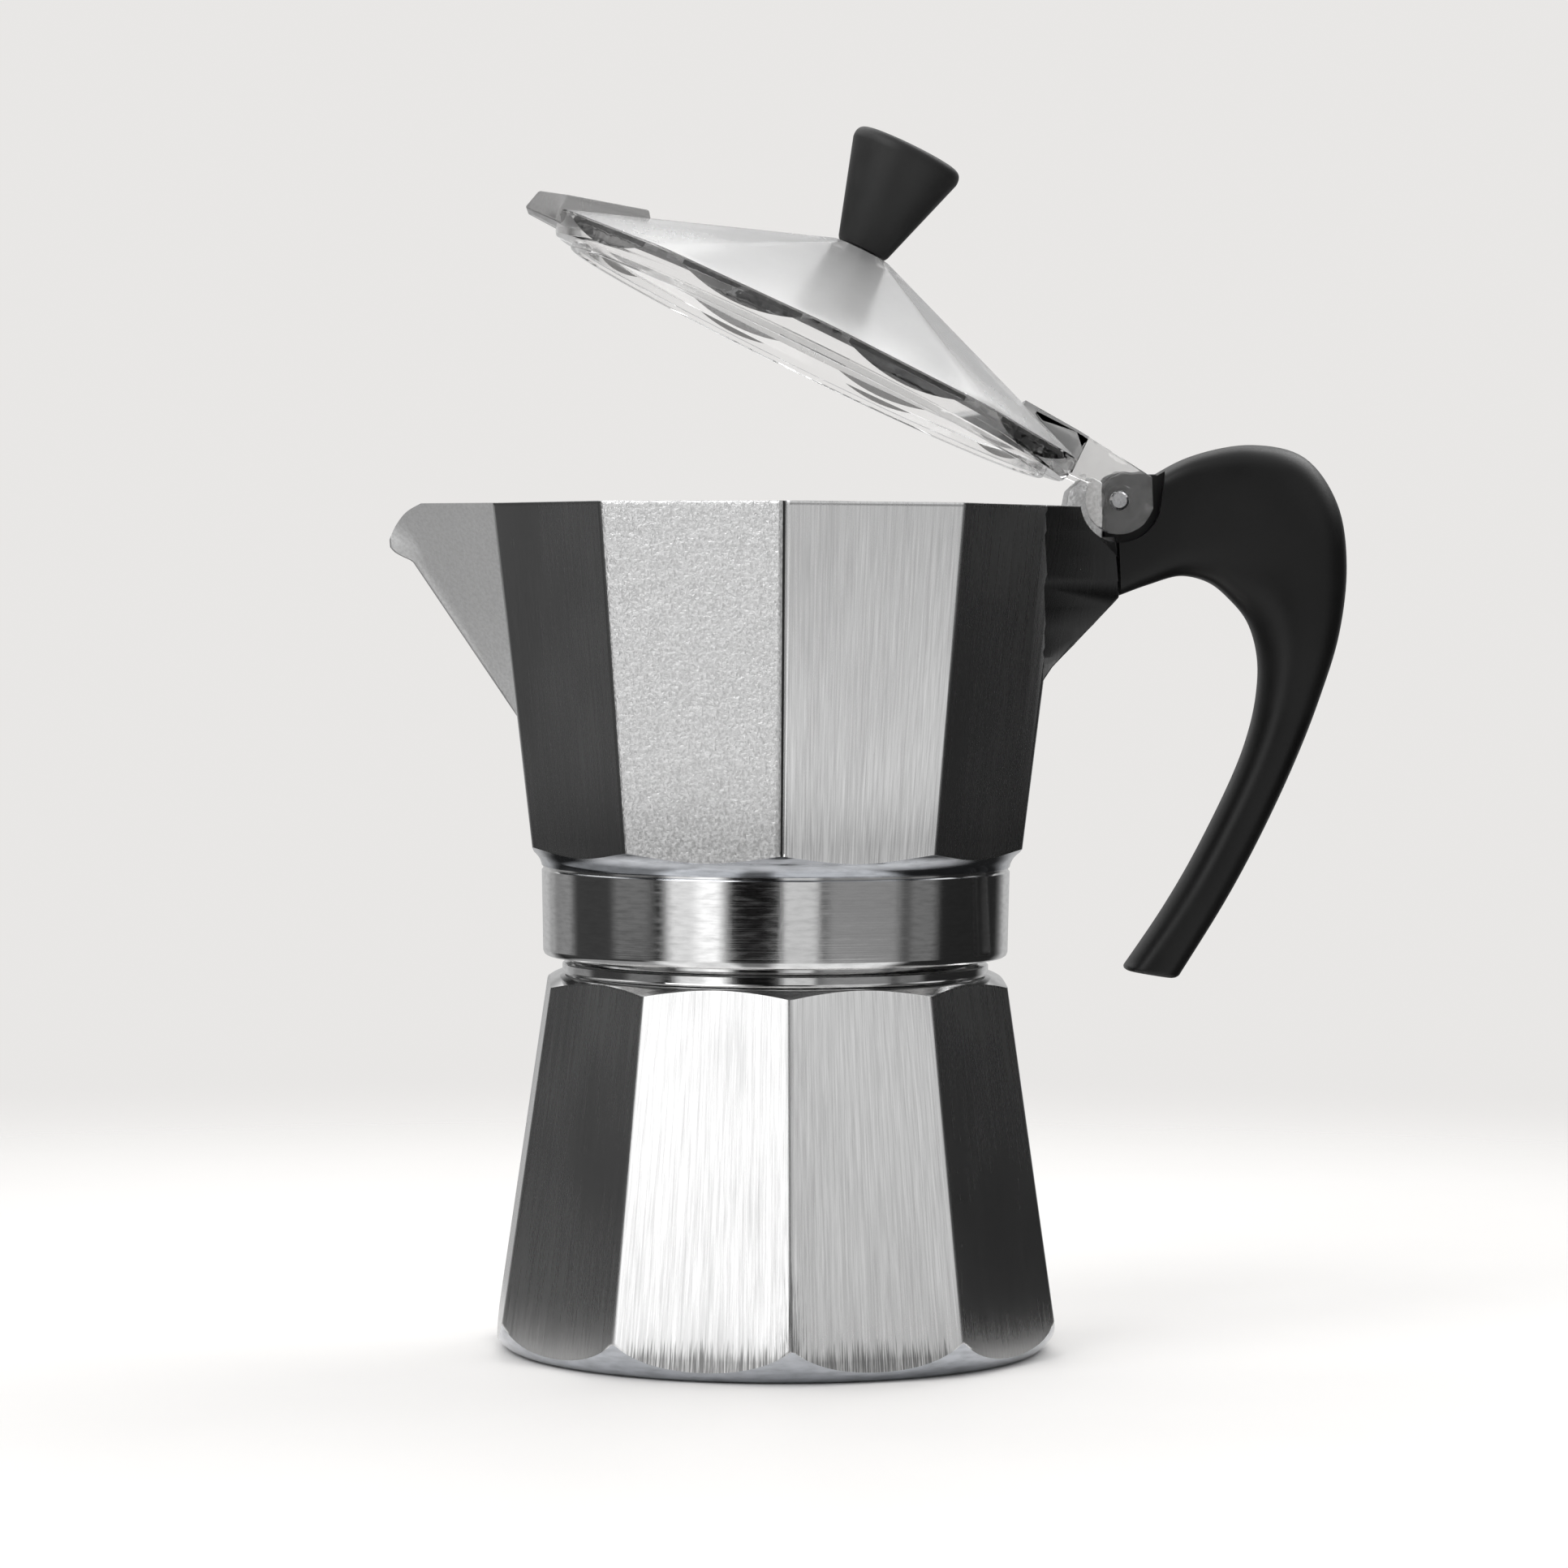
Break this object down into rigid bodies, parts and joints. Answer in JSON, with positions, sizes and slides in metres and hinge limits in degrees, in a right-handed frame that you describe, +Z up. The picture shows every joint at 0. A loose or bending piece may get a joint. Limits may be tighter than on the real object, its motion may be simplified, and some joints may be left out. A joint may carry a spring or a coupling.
{
  "type": "moka pot",
  "caption": "Stove-top espresso maker with faceted aluminium boiler and screw-on upper chamber, pouring spout, black hook handle and a hinged clear lid with a conical knob.",
  "frame": {"origin": "centre of the boiler's flat base", "axes": "+Z up along the pot's axis, -X towards the spout, +X towards the handle"},
  "size_m": [0.1545, 0.0958, 0.1971],
  "materials": {
    "cast_aluminium": "linished flats, turned collar",
    "pressed_aluminium": "satin",
    "steel": "bright",
    "brass": "turned",
    "black_nylon": "satin moulded",
    "clear_plastic": "clear, slightly smoky",
    "silicone": "matt",
    "fibre": "matt"
  },
  "bodies": {
    "boiler": {"boiler": "cast_aluminium", "valve_washer": "fibre", "valve_body": "brass", "valve_cap": "brass", "valve_spring": "steel"},
    "valve": {"valve_plunger": "steel"},
    "funnel": {"funnel": "pressed_aluminium", "funnel_stem": "pressed_aluminium", "funnel_sieve": "pressed_aluminium"},
    "upper": {"upper_chamber": "cast_aluminium", "gasket": "silicone", "filter_plate": "pressed_aluminium", "handle": "black_nylon", "hinge_pin": "steel"},
    "lid": {"lid": "clear_plastic", "knob": "black_nylon", "knob_insert": "brass", "knob_washer": "steel", "knob_screw": "steel"}
  },
  "joints": [
    {"name": "valve_lift", "type": "slide", "parent": "boiler", "child": "valve", "axis": [0.2679, 0.9531, 0.1409], "range_m": [0, 0.0015], "stiffness_N_per_m": 1000, "springref_m": -0.0016, "deforming": ["valve_spring"]},
    {"name": "upper_turn", "type": "hinge", "parent": "boiler", "child": "funnel", "pos_m": [0, 0, 0.0736], "axis": [0, 0, 1], "range_deg": [0, 1080]},
    {"name": "upper_rise", "type": "slide", "parent": "funnel", "child": "upper", "axis": [0, 0, 1], "range_m": [0, 0.00901]},
    {"name": "lid_hinge", "type": "hinge", "parent": "upper", "child": "lid", "pos_m": [0.0545, 0, 0.137], "axis": [0, 1, 0], "range_deg": [-25.6, 69.4]}
  ],
  "couplings": [
    {"joint": "upper_rise", "follows": "upper_turn", "m_per_rad": 0.00047746}
  ]
}
